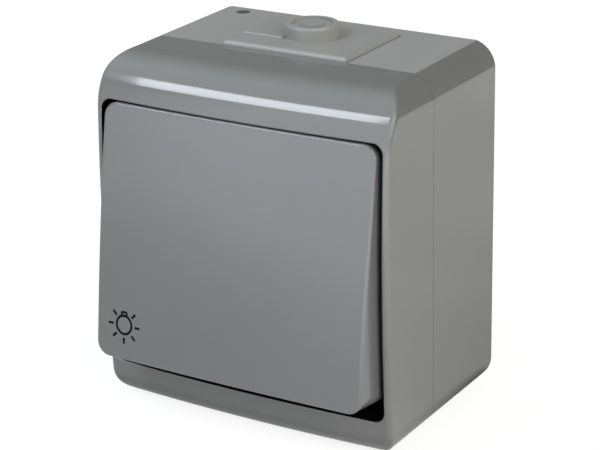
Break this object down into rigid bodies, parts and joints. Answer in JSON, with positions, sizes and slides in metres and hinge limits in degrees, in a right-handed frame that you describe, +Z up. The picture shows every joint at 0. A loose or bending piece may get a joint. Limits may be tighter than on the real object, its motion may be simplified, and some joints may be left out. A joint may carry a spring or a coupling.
{
  "type": "pushbutton switch",
  "caption": "Surface-mounted splash-proof pushbutton switch: grey box with a domed front frame, a large hinged key, a pierceable cable entry on top and a sprung contact mechanism inside.",
  "frame": {"origin": "centre of the back face that lies on the wall", "axes": "+Y into the wall, +Z up, +X to the right seen from the front"},
  "size_m": [0.066, 0.0515, 0.0767],
  "materials": {
    "case_plastic": "glossy grey moulding",
    "key_plastic": "glossy grey moulding",
    "entry_plastic": "satin soft grey moulding",
    "seal_rubber": "matte black rubber",
    "membrane_rubber": "matte dark rubber",
    "housing_plastic": "satin off-white moulding",
    "plunger_plastic": "satin red moulding",
    "screw_steel": "zinc-plated steel",
    "spring_steel": "drawn spring wire",
    "copper_strip": "bright copper",
    "terminal_brass": "turned brass",
    "contact_silver": "polished silver"
  },
  "bodies": {
    "case": {"base_box": "case_plastic", "front_frame": "case_plastic", "cable_entry": "entry_plastic", "frame_gasket": "seal_rubber", "frame_screws": "screw_steel", "membrane": "membrane_rubber", "mechanism_body": "housing_plastic", "mechanism_cover": "housing_plastic", "mechanism_screws": "screw_steel", "return_spring": "spring_steel", "fixed_strip_left": "copper_strip", "fixed_strip_right": "copper_strip", "fixed_contacts": "contact_silver", "terminal_block_left": "terminal_brass", "terminal_block_right": "terminal_brass", "terminal_screws": "screw_steel"},
    "key": {"key": "key_plastic"},
    "plunger": {"plunger": "plunger_plastic", "bridge_clip": "spring_steel", "contact_spring": "spring_steel", "contact_bridge": "copper_strip", "bridge_contacts": "contact_silver"}
  },
  "joints": [
    {"name": "key_hinge", "type": "hinge", "parent": "case", "child": "key", "pos_m": [0, -0.0365, 0.02], "axis": [1, 0, 0], "range_deg": [0, 6], "stiffness_Nm_per_rad": 0.6, "springref_deg": -5.73},
    {"name": "plunger_slide", "type": "slide", "parent": "case", "child": "plunger", "axis": [0, 1, 0], "range_m": [0, 0.00209], "deforming": ["return_spring", "membrane"]}
  ],
  "couplings": [
    {"joint": "plunger_slide", "follows": "key_hinge", "m_per_rad": 0.02}
  ]
}
